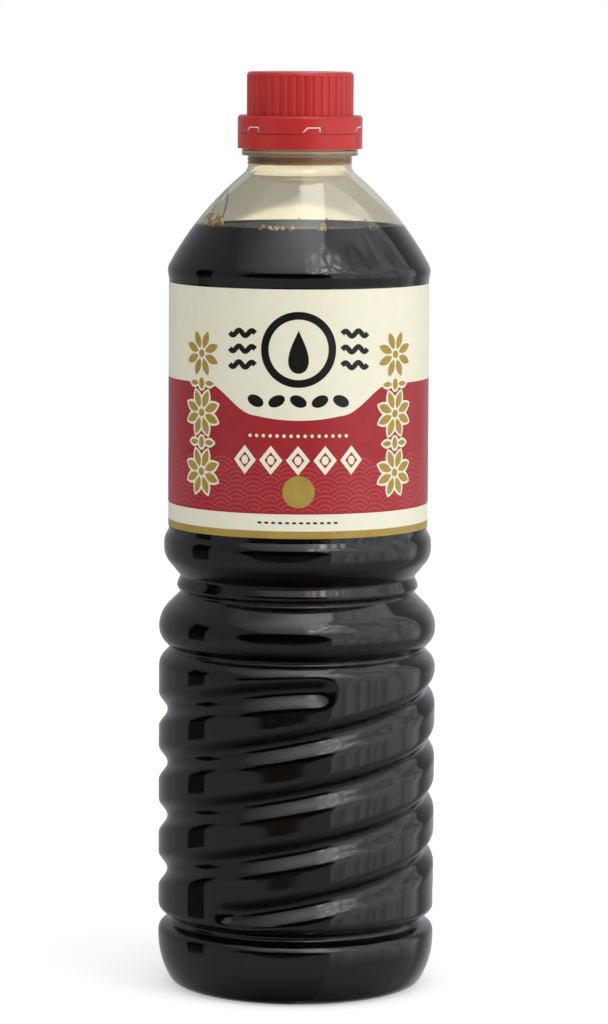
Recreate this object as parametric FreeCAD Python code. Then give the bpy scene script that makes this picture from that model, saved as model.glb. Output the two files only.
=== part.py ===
import FreeCAD, Part
import math
import os
from FreeCAD import Vector

# Soy sauce bottle, about one litre: a blow-moulded PET bottle with spiral grips, its sauce, a wrap label,
# a screw cap and the tamper band below it.  Millimetres and degrees, +Z up, origin at the middle of the
# circle that the bottle stands on.  Azimuths run from the front (-Y) towards the right (+X).

# ---- bottle body: radii ----
body_r = 40.6            # spiral grip and the two bulges around it
wall = 0.5               # blown PET wall
foot_depth = 3.3         # ring groove above the foot
upper_ring_depth = 3.0   # ring groove above the spiral grip
waist_depth = 6.15       # waist between the upper bulge and the collar bulge
waist_rib = 0.88         # small rib in the middle of the waist
collar_inset = 1.45      # collar bulge under the label, in from body_r
panel_inset = 2.75       # label panel, in from body_r
shoulder_inset = 2.3     # shoulder edge above the label, in from body_r

# ---- bottle body: heights of the stretches, from the ground up ----
heel_h = 14.5            # curved heel
foot_band_h = 1.2        # upright band above the heel
foot_lip_h = 4.2         # foot band in to the bottom of the foot groove, and out again
spiral_h = 70.3          # upright wall that carries the spiral grooves
ring_lip_h = 5.5         # spiral wall in to the bottom of the upper ring groove
bulge_low_h = 6.1        # ring groove out to the top bulge
bulge_high_h = 10.3      # top bulge in to the waist
rib_low_h = 2.05         # waist out to the crest of its rib
rib_high_h = 2.6         # crest of the rib back in to the waist
collar_low_h = 8.3       # waist out to the collar bulge
collar_band_h = 1.8      # upright band of the collar bulge
collar_high_h = 3.7      # collar bulge in to the label panel
panel_h = 72.5           # label panel
shoulder_lip_h = 3.2     # panel out to the shoulder edge
shoulder_h = 30.8        # shoulder edge up to the neck
neck_h = 2.6             # bare neck under the support ring

# ---- bottle body: roundings, each pair (crest, hollow) ----
foot_round = (2.6, 1.3)
ring_low_round = (5.0, 1.0)
ring_high_round = (6.3, 1.0)
waist_round = (9.3, 0.8)
rib_low_round = (1.5, 1.1)
rib_high_round = (1.8, 1.0)
collar_low_round = (6.2, 1.0)
collar_high_round = (4.6, 0.8)
shoulder_lip_round = (4.0, 3.0)
shoulder_round = (4.0, 3.5)
round_share = 0.999      # the roundings take this much of their room at most, and a straight the rest
shoulder_curve_r = 89.0  # long curve of the shoulder
heel_curve_r = 25.0      # long curve of the heel
heel_corner_r = 4.5      # rounding into the standing ring

# ---- base ----
stand_inner_r = 29.5     # inner edge of the flat standing ring
push_up_h = 5.0          # rise of the base inside the standing ring
gate_r = 3.0             # flat in the middle of the base, where the plastic was let into the mould

# ---- spiral grooves ----
groove_count = 3
groove_depth = 2.6
groove_half_w = 4.95     # from the middle of a groove to where its rounded edge ends
groove_pitch = 47.5      # rise in a full turn
groove_first_az = -29.0  # azimuth where the first groove starts
groove_sweep = 518.4     # turn from a groove's start to its end
groove_start_gap = 2.3   # centre of a groove's start above the lower end of the spiral wall
groove_start_ease = 10.0 # the groove levels out over this turn at its start
groove_end_ease = 34.0   # and over this one at its end
skin_turn_steps = 144    # points of the grip's surface round the bottle
skin_rise_step = 0.6     # and from one ring of points up to the next
sew_gap = 0.001          # joint between the grip's surface and the walls above and below it

# ---- neck and finish ----
neck_r = 15.08
ring_r = 16.9            # support ring
ring_h = 1.75
ring_edge_round = 0.35
finish_r = 13.3          # outside of the finish, under the cap
finish_wall = 2.3
bead_out = 1.3           # bead that keeps the tamper band down, out from the finish
bead_h = 1.2
bead_lift = 1.8          # bead above the support ring

# ---- cap and tamper band ----
grip_r = 15.5            # ribbed grip
grip_h = 12.6
grip_round = 1.1         # edge of the cap's top
cap_top = 1.6            # thickness of the cap's top
cap_clear = 0.3          # round the finish, and between band and support ring
collar_r = 18.13         # collar of the cap, and the band
collar_h = 3.4           # collar above the teeth of the band
collar_wall = 1.3
collar_edge = 0.5        # chamfer of the collar's top edge
band_h = 4.25            # band between its teeth
band_lip_h = 1.0         # lip that turns in over the support ring
tooth_h = 1.9
tooth_count = 6
tooth_az = (0.7, 7.6, 18.0)   # foot of the slope, head of the slope, upright side
tooth_reach = 1.0        # the tooth's cutter runs this far past the band, inwards, outwards and down
tear_gap = 0.35          # moulded tear line between band and cap
bridge_w = 0.7           # small bridges over the tear line
bridge_inset = 0.2       # bridges in from the collar's face
bridge_az = (28.0, 48.0)      # from the start of each tooth's sector
flute_count = 40
flute_depth = 0.3
flute_ball_r = 0.75

# ---- label and sauce ----
label_t = 0.12
label_lift = 1.25        # bare panel under the label
label_gap = 0.15         # and above it
fill_below_neck = 17.35  # level of the sauce under the lower end of the neck

# ---- heights that follow ----
z_foot = heel_h + foot_band_h
z_foot_groove = z_foot + foot_lip_h
z_spiral = z_foot_groove + foot_lip_h
z_spiral_top = z_spiral + spiral_h
z_ring_groove = z_spiral_top + ring_lip_h
z_bulge = z_ring_groove + bulge_low_h
z_waist = z_bulge + bulge_high_h
z_rib = z_waist + rib_low_h
z_waist_top = z_rib + rib_high_h
z_collar = z_waist_top + collar_low_h
z_collar_top = z_collar + collar_band_h
z_panel = z_collar_top + collar_high_h
z_panel_top = z_panel + panel_h
z_shoulder = z_panel_top + shoulder_lip_h
z_neck = z_shoulder + shoulder_h
z_ring = z_neck + neck_h
z_ring_top = z_ring + ring_h
z_band = z_ring_top + cap_clear
z_tear = z_band + band_h
z_ledge = z_tear + tooth_h + collar_h
z_cap = z_ledge + grip_h
z_finish = z_cap - cap_top
z_level = z_neck - fill_below_neck
panel_r = body_r - panel_inset
bore_r = finish_r - finish_wall
bead_r = finish_r + bead_out

AXIS = Vector(0, 0, 1)
ORIGIN = Vector(0, 0, 0)
DIGITS = 9               # decimals kept, so that an outline on the axis starts exactly there
TOUCH = 1e-6             # ends of edges closer than this meet


def at(r, z):
    """A point of an outline, in the XZ plane."""
    return Vector(r, 0, z)


def arc(centre, radius, start, end):
    """Arc about a centre (r, z) from one polar angle to another, in degrees."""
    points = []
    for angle in (start, (start + end) / 2, end):
        r = centre[0] + radius * math.cos(math.radians(angle))
        z = centre[1] + radius * math.sin(math.radians(angle))
        points.append(at(round(r, DIGITS), round(z, DIGITS)))
    return Part.Arc(*points).toShape()


def turn_shape(low, high, rounds):
    """Radii of the crest and hollow arcs between two upright heights, and the angle they turn through."""
    rise, step = abs(high[0] - low[0]), abs(high[1] - low[1])
    room = round_share * (rise ** 2 + step ** 2) / (2 * step)
    shrink = min(1.0, room / sum(rounds))
    crest, hollow = (radius * shrink for radius in rounds)
    both = crest + hollow
    straight = math.sqrt(rise ** 2 + (step - both) ** 2 - both ** 2)
    return crest, hollow, math.atan2(step - both, rise) + math.atan2(both, straight)


def turn(low, high, rounds, inset):
    """Wall between two heights where it stands upright: a crest arc, a straight and a hollow arc."""
    (z0, r0), (z1, r1) = low, high
    crest, hollow, angle = turn_shape(low, high, rounds)
    angle = math.degrees(angle)
    crest_r, hollow_r = crest - inset, hollow + inset
    if r1 > r0:
        first = arc((r0 - inset + hollow_r, z0), hollow_r, 180, 180 - angle)
        last = arc((r1 - inset - crest_r, z1), crest_r, -angle, 0)
    else:
        first = arc((r0 - inset - crest_r, z0), crest_r, 0, angle)
        last = arc((r1 - inset + hollow_r, z1), hollow_r, 180 + angle, 180)
    middle = Part.makeLine(first.lastVertex(True).Point, last.firstVertex(True).Point)
    return [first, middle, last]


def turn_radius(hollow_end, crest_end, rounds, inset, z):
    """Radius of the same wall at a height between its hollow end and its crest end."""
    crest, hollow, angle = turn_shape(hollow_end, crest_end, rounds)
    crest_r, hollow_r = crest - inset, hollow + inset
    from_hollow, from_crest = abs(z - hollow_end[0]), abs(crest_end[0] - z)
    hollow_foot = hollow_end[1] - inset
    crest_top = crest_end[1] - inset
    if from_crest <= crest_r * math.sin(angle):
        return crest_top - crest_r + math.sqrt(crest_r ** 2 - from_crest ** 2)
    if from_hollow <= hollow_r * math.sin(angle):
        return hollow_foot + hollow_r - math.sqrt(hollow_r ** 2 - from_hollow ** 2)
    past_crest = from_crest - crest_r * math.sin(angle)
    return crest_top - crest_r * (1 - math.cos(angle)) - past_crest * math.tan(angle)


def meet(c0, d0, c1, d1):
    """The point at the distances d0 and d1 from two centres, on the side of the bottle's axis."""
    gap = math.dist(c0, c1)
    along = (gap ** 2 + d0 ** 2 - d1 ** 2) / (2 * gap)
    aside = math.sqrt(d0 ** 2 - along ** 2)
    ux, uz = (c1[0] - c0[0]) / gap, (c1[1] - c0[1]) / gap
    sides = [(c0[0] + along * ux - s * aside * uz, c0[1] + along * uz + s * aside * ux) for s in (1, -1)]
    return min(sides)


def polar(centre, point):
    return math.degrees(math.atan2(point[1] - centre[1], point[0] - centre[0]))


def shoulder(inset):
    """Shoulder edge, long shoulder curve and the hollow at the neck."""
    crest, hollow = shoulder_round
    edge_c = (body_r - shoulder_inset - crest, z_shoulder)
    neck_c = (neck_r + hollow, z_neck)
    long_c = meet(edge_c, shoulder_curve_r - crest, neck_c, shoulder_curve_r + hollow)
    low, high = polar(long_c, edge_c), polar(long_c, neck_c)
    return [
        arc(edge_c, crest - inset, 0, low),
        arc(long_c, shoulder_curve_r - inset, low, high),
        arc(neck_c, hollow + inset, high + 180, 180),
    ]


def heel(inset):
    """Standing ring's edge, rounded corner and the long curve of the heel."""
    long_c = (body_r - heel_curve_r, heel_h)
    reach = heel_curve_r - heel_corner_r
    drop = heel_h - heel_corner_r
    corner_c = (long_c[0] + math.sqrt(reach ** 2 - drop ** 2), heel_corner_r)
    split = polar(long_c, corner_c)
    return [
        arc(corner_c, heel_corner_r - inset, -90, split),
        arc(long_c, heel_curve_r - inset, split, 0),
    ]


def base(inset):
    """Flat and raised middle of the base, out to the standing ring."""
    dome_r = (stand_inner_r ** 2 + push_up_h ** 2) / (2 * push_up_h)
    dome_z = push_up_h - dome_r
    radius = dome_r + inset
    gate = math.degrees(math.acos(gate_r / radius))
    edge = 90 - math.degrees(math.acos((inset - dome_z) / radius))
    dome = arc((0, dome_z), radius, gate, edge)
    foot = dome.firstVertex(True).Point
    return [Part.makeLine(at(0, foot.z), foot), dome]


def foot_outline(inset):
    """Outline from the middle of the base up to the bottom of the foot groove."""
    groove = (z_foot_groove, body_r - foot_depth)
    return base(inset) + heel(inset) + turn((z_foot, body_r), groove, foot_round, inset)


def upper_outline(inset):
    """Outline from the bottom of the upper ring groove up to the neck."""
    stations = [
        (z_ring_groove, body_r - upper_ring_depth), ring_high_round,
        (z_bulge, body_r), waist_round,
        (z_waist, body_r - waist_depth), rib_low_round,
        (z_rib, body_r - waist_depth + waist_rib), rib_high_round,
        (z_waist_top, body_r - waist_depth), collar_low_round,
        (z_collar, body_r - collar_inset), None,
        (z_collar_top, body_r - collar_inset), collar_high_round,
        (z_panel, panel_r), None,
        (z_panel_top, panel_r), shoulder_lip_round,
        (z_shoulder, body_r - shoulder_inset),
    ]
    edges = []
    for low, rounds, high in zip(stations[0::2], stations[1::2], stations[2::2]):
        if rounds:
            edges += turn(low, high, rounds, inset)
    return edges + shoulder(inset)


def finish_points():
    """Corners of the support ring, the bead and the mouth, from the neck up and down again inside."""
    z_bead = z_ring_top + bead_lift
    e = ring_edge_round
    return [
        at(neck_r, z_ring), at(ring_r - e, z_ring), at(ring_r, z_ring + e), at(ring_r, z_ring_top - e),
        at(ring_r - e, z_ring_top), at(finish_r, z_ring_top), at(finish_r, z_bead), at(bead_r, z_bead),
        at(finish_r, z_bead + bead_h), at(finish_r, z_finish), at(bore_r, z_finish), at(bore_r, z_ring),
    ]


def chain(edges, corners=(), close=False):
    """Joins the edges with straights where they stand apart, then runs on through the corner points."""
    joined = [edges[0]]
    for edge in edges[1:]:
        start, end = joined[-1].lastVertex(True).Point, edge.firstVertex(True).Point
        if start.distanceToPoint(end) > TOUCH:
            joined.append(Part.makeLine(start, end))
        joined.append(edge)
    point = joined[-1].lastVertex(True).Point
    for corner in list(corners) + ([joined[0].firstVertex(True).Point] if close else []):
        joined.append(Part.makeLine(point, corner))
        point = corner
    return Part.Wire(joined)


def spun(wire):
    return Part.Face(wire).revolve(ORIGIN, AXIS, 360)


def ring_solid(inner_r, outer_r, z0, z1):
    outer = Part.makeCylinder(outer_r, z1 - z0, at(0, z0))
    return outer.cut(Part.makeCylinder(inner_r, z1 - z0, at(0, z0)))


def groove_rise(turned):
    """Height of a groove's middle above its start, with both ends levelled out."""
    early = min(turned, groove_start_ease)
    late = max(0.0, turned - groove_sweep + groove_end_ease)
    lost = early - early ** 2 / (2 * groove_start_ease) + late ** 2 / (2 * groove_end_ease)
    return groove_pitch * (turned - lost) / 360


def groove_slope(turned):
    """Slope of a groove's middle line on the unrolled wall."""
    rate = min(1.0, turned / groove_start_ease, (groove_sweep - turned) / groove_end_ease)
    return groove_pitch * rate / (2 * math.pi * body_r)


def groove_cut(azimuth, z):
    """Depth of the spiral grooves at a place on the wall: a rounded trough with round ends."""
    nearest = groove_half_w
    sector = 360 / groove_count
    start = (azimuth - groove_first_az) % sector - sector
    while start < groove_sweep + sector:
        turned = min(max(start, 0.0), groove_sweep)
        past_end = math.radians(start - turned) * body_r
        above = z - z_spiral - groove_start_gap - groove_rise(turned)
        across = above / math.sqrt(1 + groove_slope(turned) ** 2)
        nearest = min(nearest, math.hypot(past_end, across))
        start += sector
    return groove_depth * (1 + math.cos(math.pi * nearest / groove_half_w)) / 2


def grip_radius(azimuth, z, inset):
    """Radius of the spiral grip, with the lips that lead to the ring grooves above and below it."""
    foot_end, low_end = (z_foot_groove, body_r - foot_depth), (z_spiral, body_r)
    ring_end, high_end = (z_ring_groove, body_r - upper_ring_depth), (z_spiral_top, body_r)
    if z < z_spiral:
        plain = turn_radius(foot_end, low_end, foot_round, inset, z)
    elif z > z_spiral_top:
        plain = turn_radius(ring_end, high_end, ring_low_round, inset, z)
    else:
        plain = body_r - inset
    return plain - groove_cut(azimuth, z)


def interpolated(points, parameters, closed):
    curve = Part.BSplineCurve()
    curve.interpolate(Points=points, PeriodicFlag=closed, Parameters=parameters)
    return curve


def grip_skin(inset):
    """The grip as one smooth surface that closes round the bottle."""
    rows = math.ceil((z_ring_groove - z_foot_groove) / skin_rise_step)
    heights = [z_foot_groove + (z_ring_groove - z_foot_groove) * i / rows for i in range(rows + 1)]
    up_parameters = [float(i) for i in range(rows + 1)]
    round_parameters = [float(i) for i in range(skin_turn_steps + 1)]
    columns = []
    for i in range(skin_turn_steps):
        azimuth = 360 * i / skin_turn_steps
        angle = math.radians(azimuth - 90)
        radii = [grip_radius(azimuth, z, inset) for z in heights]
        points = [Vector(r * math.cos(angle), r * math.sin(angle), z) for r, z in zip(radii, heights)]
        columns.append(interpolated(points, up_parameters, False))
    rings = zip(*(column.getPoles() for column in columns))
    hoops = [interpolated(list(ring), round_parameters, True) for ring in rings]
    surface = Part.BSplineSurface()
    surface.buildFromPolesMultsKnots(
        list(zip(*(hoop.getPoles() for hoop in hoops))), hoops[0].getMultiplicities(),
        columns[0].getMultiplicities(), hoops[0].getKnots(), columns[0].getKnots(), True, False,
        hoops[0].Degree, columns[0].Degree,
    )
    return surface.toShape()


def sewn(wires, skins):
    """One solid from outlines spun about the axis and the surfaces between them."""
    faces = list(skins)
    for wire in wires:
        spun_wall = wire.revolve(ORIGIN, AXIS, 360)
        spun_wall.rotate(ORIGIN, AXIS, -90)
        faces += spun_wall.Faces
    shell = Part.Compound(faces)
    shell.sewShape(sew_gap)
    solid = Part.makeSolid(shell.Shells[0])
    if solid.Volume < 0:
        solid.reverse()
    return solid


def bottle():
    neck_inside = upper_outline(wall)[-1].lastVertex(True).Point
    through_mouth = chain(upper_outline(0), finish_points() + [neck_inside])
    wires = [chain(foot_outline(0)), through_mouth, chain(upper_outline(wall)), chain(foot_outline(wall))]
    return sewn(wires, [grip_skin(0), grip_skin(wall)])


def sauce():
    neck_top = [at(bore_r, z_ring), at(0, z_ring)]
    cavity = sewn([chain(foot_outline(wall)), chain(upper_outline(wall), neck_top)], [grip_skin(wall)])
    return cavity.common(Part.makeCylinder(2 * body_r, z_level))


def tooth(index, grow):
    """One tooth of the tamper band, or the room for it in the cap when it is grown by the tear line."""
    foot, head, side = (math.radians(azimuth) for azimuth in tooth_az)
    middle = (foot + side) / 2
    foot_x, head_x, side_x = (collar_r * math.sin(azimuth - middle) for azimuth in (foot, head, side))
    inner = collar_r - collar_wall - tooth_reach
    z_low, z_high = z_tear - tooth_reach, z_tear + tooth_h + grow
    corners = [
        Vector(foot_x - grow, -inner, z_low), Vector(foot_x - grow, -inner, z_tear),
        Vector(head_x - grow, -inner, z_high), Vector(side_x + grow, -inner, z_high),
        Vector(side_x + grow, -inner, z_low),
    ]
    outward = Vector(0, -collar_wall - 2 * tooth_reach, 0)
    block = Part.Face(Part.makePolygon(corners + corners[:1])).extrude(outward)
    block.rotate(ORIGIN, AXIS, math.degrees(middle) + 360 * index / tooth_count)
    return block


def tamper_band():
    inner_r = collar_r - collar_wall
    ring = ring_solid(inner_r, collar_r, z_band, z_tear)
    lip = ring_solid(finish_r + cap_clear, inner_r + collar_wall / 2, z_band, z_band + band_lip_h)
    room = ring_solid(inner_r, collar_r, z_band, z_tear + tooth_h)
    teeth = [room.common(tooth(i, 0)) for i in range(tooth_count)]
    depth = collar_wall - bridge_inset
    bridges = []
    for i in range(tooth_count):
        for azimuth in bridge_az:
            corner = Vector(-bridge_w / 2, -inner_r - depth, z_tear - tear_gap)
            box = Part.makeBox(bridge_w, depth, 2 * tear_gap, corner)
            box.rotate(ORIGIN, AXIS, azimuth + 360 * i / tooth_count)
            bridges.append(box)
    return ring.fuse([lip] + teeth + bridges).removeSplitter()


def cap():
    inner_r = finish_r + cap_clear
    z_collar_low = z_tear + tear_gap
    wide_r = collar_r - collar_wall
    z_roof = z_ledge - collar_wall
    edges = [arc((grip_r - grip_round, z_cap - grip_round), grip_round, 0, 90)]
    corners = [
        at(0, z_cap), at(0, z_finish), at(inner_r, z_finish), at(inner_r, z_roof), at(wide_r, z_roof),
        at(wide_r, z_collar_low), at(collar_r, z_collar_low), at(collar_r, z_ledge - collar_edge),
        at(collar_r - collar_edge, z_ledge), at(grip_r, z_ledge),
    ]
    solid = spun(chain(edges, corners, close=True))
    cuts = [tooth(i, tear_gap) for i in range(tooth_count)]
    flute_c = grip_r + flute_ball_r - flute_depth
    for i in range(flute_count):
        angle = 2 * math.pi * (i + 0.5) / flute_count
        foot = Vector(flute_c * math.cos(angle), flute_c * math.sin(angle), z_ledge)
        cuts.append(Part.makeCylinder(flute_ball_r, grip_h - grip_round, foot))
    return solid.cut(cuts)


def label():
    return ring_solid(panel_r, panel_r + label_t, z_panel + label_lift, z_panel_top - label_gap)


def save(node, shape):
    solids = shape.Solids
    if len(solids) != 1 or not shape.isValid():
        raise SystemExit(f"{node}: {len(solids)} solids, valid {shape.isValid()}")
    box = shape.BoundBox
    print(f"{node}: {shape.Volume / 1000:.2f} ml, z {box.ZMin:.2f} to {box.ZMax:.2f}")
    solids[0].exportStep(f"parts/{node}.step")


def main():
    os.makedirs("parts", exist_ok=True)
    save("bottle", bottle())
    save("sauce", sauce())
    save("label", label())
    save("cap", cap())
    save("tamper_band", tamper_band())


main()
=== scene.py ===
# %% [markdown]
# # A bottle of soy sauce
# The object is a blow-moulded PET bottle full of dark sauce, with a wrap label, a ribbed screw cap and a
# tamper band.  The fixed frame comes first: every piece below takes its place from it, in metres.

# %% Frame
import math
import random

import bmesh
import bpy
from mathutils import Euler, Matrix, Vector


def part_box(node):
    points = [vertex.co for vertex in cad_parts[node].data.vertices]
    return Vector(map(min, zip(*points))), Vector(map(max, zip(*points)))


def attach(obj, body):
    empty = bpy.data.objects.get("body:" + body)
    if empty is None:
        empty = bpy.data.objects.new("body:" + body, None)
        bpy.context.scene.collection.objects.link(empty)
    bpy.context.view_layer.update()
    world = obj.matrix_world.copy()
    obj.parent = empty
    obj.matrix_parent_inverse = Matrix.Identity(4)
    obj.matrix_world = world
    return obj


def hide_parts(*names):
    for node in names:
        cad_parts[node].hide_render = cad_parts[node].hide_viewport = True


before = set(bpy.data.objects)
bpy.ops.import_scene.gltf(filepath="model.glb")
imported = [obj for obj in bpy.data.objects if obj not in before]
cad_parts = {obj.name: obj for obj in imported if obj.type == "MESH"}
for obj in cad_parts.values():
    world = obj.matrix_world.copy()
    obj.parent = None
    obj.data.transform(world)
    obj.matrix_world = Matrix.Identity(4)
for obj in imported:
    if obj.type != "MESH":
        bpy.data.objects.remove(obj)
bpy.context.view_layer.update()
MM = 0.001
label_low, label_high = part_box("label")

# %% [markdown]
# ## Small helpers
# A colour is written as the sRGB hex value that a swatch book gives, and one function turns it linear.
# One more function adds a shader node with its settings and links, and a third one makes an object of a
# finished bmesh: it closes doubles, points the faces outwards and keeps true corners crisp.

# %% Helpers
CORNER = math.radians(38)  # edges that bend more than this stay sharp
MERGE = 0.002 * MM  # points nearer than this become one


def colour(hex_code):
    """Linear RGBA of an sRGB hex colour."""
    parts = [int(hex_code[i:i + 2], 16) / 255 for i in (1, 3, 5)]
    return tuple(c / 12.92 if c <= 0.04045 else ((c + 0.055) / 1.055) ** 2.4 for c in parts) + (1.0,)


def node(tree, kind, inputs=(), out=0, stops=(), **settings):
    """Adds a shader node with its settings, its links and the (position, hex colour) stops of a ramp.

    inputs gives, for a socket's name or number, a value or another node's output; a plain list counts from 0.
    """
    made = tree.nodes.new("ShaderNode" + kind)
    for name, value in settings.items():
        setattr(made, name, value)
    for key, value in inputs.items() if isinstance(inputs, dict) else enumerate(inputs):
        if isinstance(value, bpy.types.NodeSocket):
            tree.links.new(value, made.inputs[key])
        else:
            made.inputs[key].default_value = value
    for number, (position, hex_code) in enumerate(stops):
        elements = made.color_ramp.elements
        element = elements[number] if number < len(elements) else elements.new(position)
        element.position, element.color = position, colour(hex_code)
    return made.outputs[out]


def piece(name, bm, material):
    """A finished piece: an object at the origin that rides on the one body."""
    bmesh.ops.remove_doubles(bm, verts=bm.verts, dist=MERGE)
    bmesh.ops.recalc_face_normals(bm, faces=bm.faces)
    for face in bm.faces:
        face.smooth = True
    for edge in bm.edges:
        edge.smooth = edge.calc_face_angle(0) < CORNER
    mesh = bpy.data.meshes.new(name)
    bm.to_mesh(mesh)
    bm.free()
    mesh.materials.append(material)
    made = bpy.data.objects.new(name, mesh)
    bpy.context.scene.collection.objects.link(made)
    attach(made, "root")
    print(name, len(mesh.polygons), "faces")
    return made


def spun(outline, steps, closed=False):
    """A bmesh of an outline of (radius, height) points in mm, spun once round the bottle's axis."""
    bm = bmesh.new()
    ring = [bm.verts.new((0, -r * MM, z * MM)) for r, z in outline]
    edges = [bm.edges.new(pair) for pair in zip(ring, ring[1:])]
    if closed:
        edges.append(bm.edges.new((ring[-1], ring[0])))
    bmesh.ops.spin(bm, geom=ring + edges, cent=(0, 0, 0), axis=(0, 0, 1), angle=2 * math.pi,
                   steps=steps, use_merge=True)
    bmesh.ops.remove_doubles(bm, verts=bm.verts, dist=MERGE)
    return bm


print("corners sharper than", round(math.degrees(CORNER)), "degrees stay crisp")

# %% [markdown]
# ## Sizes
# The same sizes as the solid model's, in millimetres.  The bottle's wall runs from one upright height
# (z, radius) to the next, and each way between them is a crest arc, a straight and a hollow arc.

# %% Sizes
body_r, wall = 40.6, 0.5  # widest radius, and the blown wall
panel_r, shoulder_r = body_r - 2.75, body_r - 2.3  # label panel, and the shoulder's lower edge
heel_h, heel_curve_r, heel_corner_r = 14.5, 25.0, 4.5  # curved heel and its rounding into the base
stand_inner_r, push_up_h, gate_r = 29.5, 5.0, 3.0  # standing ring, rise and flat of the base
z_foot, z_foot_groove, z_spiral = 15.7, 19.9, 24.1  # heights of the groove over the foot
z_spiral_top, z_ring_groove = 94.4, 99.9  # top of the grip, and the groove over it
foot_r, ring_groove_r = body_r - 3.3, body_r - 3.0  # radii at the bottoms of those two grooves
foot_round, ring_low_round = (2.6, 1.3), (5.0, 1.0)  # their crest and hollow arcs
ROUND_SHARE = 0.999  # the arcs never take up a whole step
# From there up: an upright place (height, radius), then the crest and hollow arcs of the way to the next,
# or None for a plain upright stretch.
stations = [
    (z_ring_groove, ring_groove_r), (6.3, 1.0),
    (106.0, body_r), (9.3, 0.8),
    (116.3, body_r - 6.15), (1.5, 1.1),
    (118.35, body_r - 5.27), (1.8, 1.0),
    (120.95, body_r - 6.15), (6.2, 1.0),
    (129.25, body_r - 1.45), None,
    (131.05, body_r - 1.45), (4.6, 0.8),
    (134.75, panel_r), None,
    (207.25, panel_r), (4.0, 3.0),
    (210.45, shoulder_r),
]
shoulder_crest, shoulder_hollow, shoulder_curve_r = 4.0, 3.5, 89.0
z_shoulder, z_neck, z_ring, z_ring_top = 210.45, 241.25, 243.85, 245.6
neck_r, ring_r, finish_r, bore_r, z_finish = 15.08, 16.9, 13.3, 11.0, 266.45
z_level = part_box("sauce")[1].z / MM  # level of the sauce
print("level of the sauce at", round(z_level, 1), "mm")

# %% Outline of the blown wall
ARC_STEP = 9.0  # degrees from one point of an arc to the next
LONG_STEP = 2.0  # and millimetres, on the long curves
GRIP_STEP = 1.0  # height of one row of faces on the spiral grip
SHORTEST = 0.02  # outline points nearer than this are left out


def arc(centre, radius, start, end):
    """Points of an arc about a centre (radius, height)."""
    sweep = math.radians(abs(end - start))
    count = max(2, math.ceil(math.degrees(sweep) / ARC_STEP), math.ceil(radius * sweep / LONG_STEP))
    angles = [math.radians(start + (end - start) * i / count) for i in range(count + 1)]
    return [(centre[0] + radius * math.cos(a), centre[1] + radius * math.sin(a)) for a in angles]


def turn(low, high, rounds, inset):
    """Wall between two heights where it stands upright."""
    (z0, r0), (z1, r1) = low, high
    rise, step = z1 - z0, abs(r1 - r0)
    shrink = min(1.0, ROUND_SHARE * (rise ** 2 + step ** 2) / (2 * step) / sum(rounds))
    crest, hollow = (radius * shrink for radius in rounds)
    both = crest + hollow
    straight = math.sqrt(rise ** 2 + (step - both) ** 2 - both ** 2)
    angle = math.degrees(math.atan2(step - both, rise) + math.atan2(both, straight))
    crest_r, hollow_r = crest - inset, hollow + inset
    if r1 > r0:
        first = arc((r0 - inset + hollow_r, z0), hollow_r, 180, 180 - angle)
        return first + arc((r1 - inset - crest_r, z1), crest_r, -angle, 0)
    first = arc((r0 - inset - crest_r, z0), crest_r, 0, angle)
    return first + arc((r1 - inset + hollow_r, z1), hollow_r, 180 + angle, 180)


def meet(c0, d0, c1, d1):
    """The point at the distances d0 and d1 from two centres, on the side of the bottle's axis."""
    gap = math.dist(c0, c1)
    along = (gap ** 2 + d0 ** 2 - d1 ** 2) / (2 * gap)
    aside = math.sqrt(d0 ** 2 - along ** 2)
    ux, uz = (c1[0] - c0[0]) / gap, (c1[1] - c0[1]) / gap
    return min((c0[0] + along * ux - s * aside * uz, c0[1] + along * uz + s * aside * ux) for s in (1, -1))


def polar(centre, point):
    """Direction from a centre to a point, in degrees."""
    return math.degrees(math.atan2(point[1] - centre[1], point[0] - centre[0]))


def blown_wall(inset):
    """Outline of the blown wall from the middle of the base up to the neck, moved in by inset."""
    dome_r = (stand_inner_r ** 2 + push_up_h ** 2) / (2 * push_up_h)
    dome_z = push_up_h - dome_r
    gate = math.degrees(math.acos(gate_r / (dome_r + inset)))
    edge = 90 - math.degrees(math.acos((inset - dome_z) / (dome_r + inset)))
    dome = arc((0, dome_z), dome_r + inset, gate, edge)
    long_c = (body_r - heel_curve_r, heel_h)
    drop = heel_h - heel_corner_r
    corner_c = (long_c[0] + math.sqrt((heel_curve_r - heel_corner_r) ** 2 - drop ** 2), heel_corner_r)
    split = polar(long_c, corner_c)
    points = [(0, dome[0][1])] + dome
    points += arc(corner_c, heel_corner_r - inset, -90, split) + arc(long_c, heel_curve_r - inset, split, 0)
    points += turn((z_foot, body_r), (z_foot_groove, foot_r), foot_round, inset)
    points += turn((z_foot_groove, foot_r), (z_spiral, body_r), foot_round, inset)
    rows = math.ceil((z_spiral_top - z_spiral) / GRIP_STEP)
    points += [(body_r - inset, z_spiral + (z_spiral_top - z_spiral) * i / rows) for i in range(1, rows)]
    points += turn((z_spiral_top, body_r), (z_ring_groove, ring_groove_r), ring_low_round, inset)
    for low, rounds, high in zip(stations[0::2], stations[1::2], stations[2::2]):
        if rounds:
            points += turn(low, high, rounds, inset)
    edge_c = (shoulder_r - shoulder_crest, z_shoulder)
    neck_c = (neck_r + shoulder_hollow, z_neck)
    wide_c = meet(edge_c, shoulder_curve_r - shoulder_crest, neck_c, shoulder_curve_r + shoulder_hollow)
    low, high = polar(wide_c, edge_c), polar(wide_c, neck_c)
    points += arc(edge_c, shoulder_crest - inset, 0, low)
    points += arc(wide_c, shoulder_curve_r - inset, low, high)
    points += arc(neck_c, shoulder_hollow + inset, high + 180, 180)
    kept = points[:1]
    for point in points[1:]:
        if math.dist(point, kept[-1]) > SHORTEST:
            kept.append(point)
    return kept


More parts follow.
